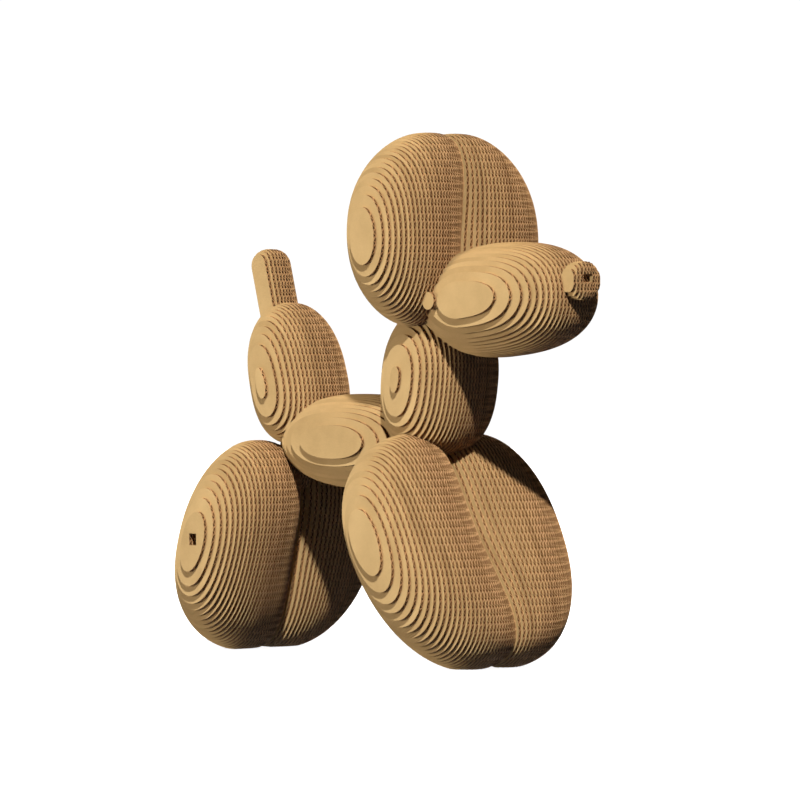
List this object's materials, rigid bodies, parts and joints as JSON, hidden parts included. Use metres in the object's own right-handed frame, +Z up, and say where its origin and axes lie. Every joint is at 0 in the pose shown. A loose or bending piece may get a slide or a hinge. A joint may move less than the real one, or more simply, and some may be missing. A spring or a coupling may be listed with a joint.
{
  "type": "sliced balloon dog puzzle",
  "caption": "Free-standing balloon-dog sculpture puzzle stacked from upright slices of corrugated board threaded on square wooden cross sticks.",
  "frame": {"origin": "on the ground, on the dog's middle plane, part way between the front and rear legs", "axes": "+X the way the dog faces, +Y the dog's left side, +Z up"},
  "size_m": [0.244, 0.0976, 0.2239],
  "materials": {
    "board": "uncoated kraft corrugated board, matte",
    "stick": "plain unfinished softwood"
  },
  "bodies": {
    "backbone": {"layer_right_14": "board", "layer_right_13": "board", "layer_right_12": "board", "layer_right_11": "board", "layer_right_10": "board", "layer_right_09": "board", "layer_right_08": "board", "layer_right_07": "board", "layer_right_06": "board", "layer_right_05": "board", "layer_right_04": "board", "layer_right_03": "board", "layer_right_02": "board", "layer_right_01": "board", "layer_middle": "board", "layer_left_01": "board", "layer_left_02": "board", "layer_left_03": "board", "layer_left_04": "board", "layer_left_05": "board", "layer_left_06": "board", "layer_left_07": "board", "layer_left_08": "board", "layer_left_09": "board", "layer_left_10": "board", "layer_left_11": "board", "layer_left_12": "board", "layer_left_13": "board", "layer_left_14": "board", "ear_stick": "stick", "snout_stick": "stick", "neck_stick": "stick", "body_stick": "stick", "foreleg_stick": "stick", "hindleg_stick": "stick", "tail_stick": "stick"},
    "ear_right": {"ear_stack_right": "board"},
    "ear_left": {"ear_stack_left": "board"},
    "neck_right": {"neck_stack_right": "board"},
    "neck_left": {"neck_stack_left": "board"},
    "body_right": {"body_stack_right": "board"},
    "body_left": {"body_stack_left": "board"},
    "foreleg_right": {"foreleg_stack_right": "board"},
    "foreleg_left": {"foreleg_stack_left": "board"},
    "hindleg_right": {"hindleg_stack_right": "board"},
    "hindleg_left": {"hindleg_stack_left": "board"},
    "tail_right": {"tail_stack_right": "board"},
    "tail_left": {"tail_stack_left": "board"}
  },
  "joints": [
    {"name": "ear_right_slide", "type": "slide", "parent": "backbone", "child": "ear_right", "axis": [0, -1, 0], "range_m": [0, 0.0226]},
    {"name": "ear_left_slide", "type": "slide", "parent": "backbone", "child": "ear_left", "axis": [0, 1, 0], "range_m": [0, 0.0226]},
    {"name": "neck_right_slide", "type": "slide", "parent": "backbone", "child": "neck_right", "axis": [0, -1, 0], "range_m": [0, 0.0082]},
    {"name": "neck_left_slide", "type": "slide", "parent": "backbone", "child": "neck_left", "axis": [0, 1, 0], "range_m": [0, 0.0082]},
    {"name": "body_right_slide", "type": "slide", "parent": "backbone", "child": "body_right", "axis": [0, -1, 0], "range_m": [0, 0.0066]},
    {"name": "body_left_slide", "type": "slide", "parent": "backbone", "child": "body_left", "axis": [0, 1, 0], "range_m": [0, 0.0066]},
    {"name": "foreleg_right_slide", "type": "slide", "parent": "backbone", "child": "foreleg_right", "axis": [0, -1, 0], "range_m": [0, 0.0322]},
    {"name": "foreleg_left_slide", "type": "slide", "parent": "backbone", "child": "foreleg_left", "axis": [0, 1, 0], "range_m": [0, 0.0322]},
    {"name": "hindleg_right_slide", "type": "slide", "parent": "backbone", "child": "hindleg_right", "axis": [0, -1, 0], "range_m": [0, 0.037]},
    {"name": "hindleg_left_slide", "type": "slide", "parent": "backbone", "child": "hindleg_left", "axis": [0, 1, 0], "range_m": [0, 0.037]},
    {"name": "tail_right_slide", "type": "slide", "parent": "backbone", "child": "tail_right", "axis": [0, -1, 0], "range_m": [0, 0.0082]},
    {"name": "tail_left_slide", "type": "slide", "parent": "backbone", "child": "tail_left", "axis": [0, 1, 0], "range_m": [0, 0.0082]}
  ]
}
